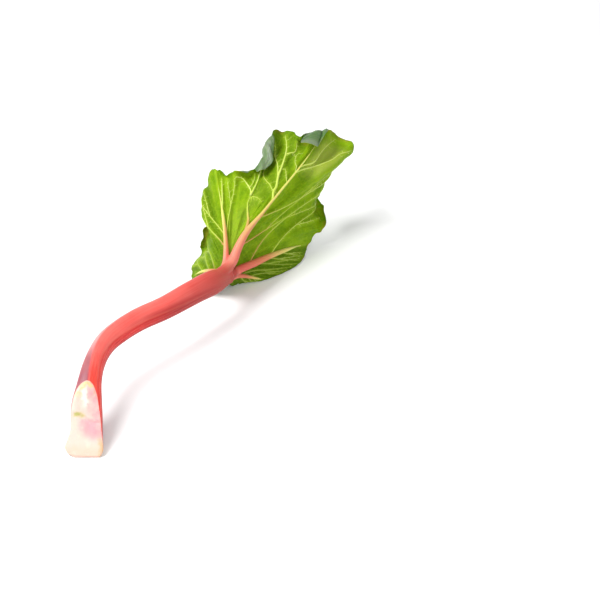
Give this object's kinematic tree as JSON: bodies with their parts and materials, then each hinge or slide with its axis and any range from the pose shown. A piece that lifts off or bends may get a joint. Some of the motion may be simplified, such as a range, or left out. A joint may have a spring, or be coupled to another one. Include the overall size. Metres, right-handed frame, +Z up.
{
  "type": "rhubarb stalk",
  "caption": "Pulled rhubarb stalk laid down: a curved pink-red leaf stalk with a pale flared heel, dividing into ribs that carry a small waved green leaf.",
  "frame": {"origin": "middle of the foot of the whole bounding box, on the surface that the stalk lies on", "axes": "+X lengthwise from the heel to the tip of the leaf, +Z up, +Y to the left of +X"},
  "size_m": [0.4856, 0.1128, 0.1124],
  "materials": {
    "stalk_flesh": "smooth satin plant skin, pink-red, cream at the heel and straw-green towards the ends of the ribs",
    "leaf_green": "soft leaf, pale yellow-green underneath and darker and glossier on top, with raised veins"
  },
  "bodies": {
    "root": {"stalk": "stalk_flesh", "leaf_blade": "leaf_green"}
  },
  "joints": []
}
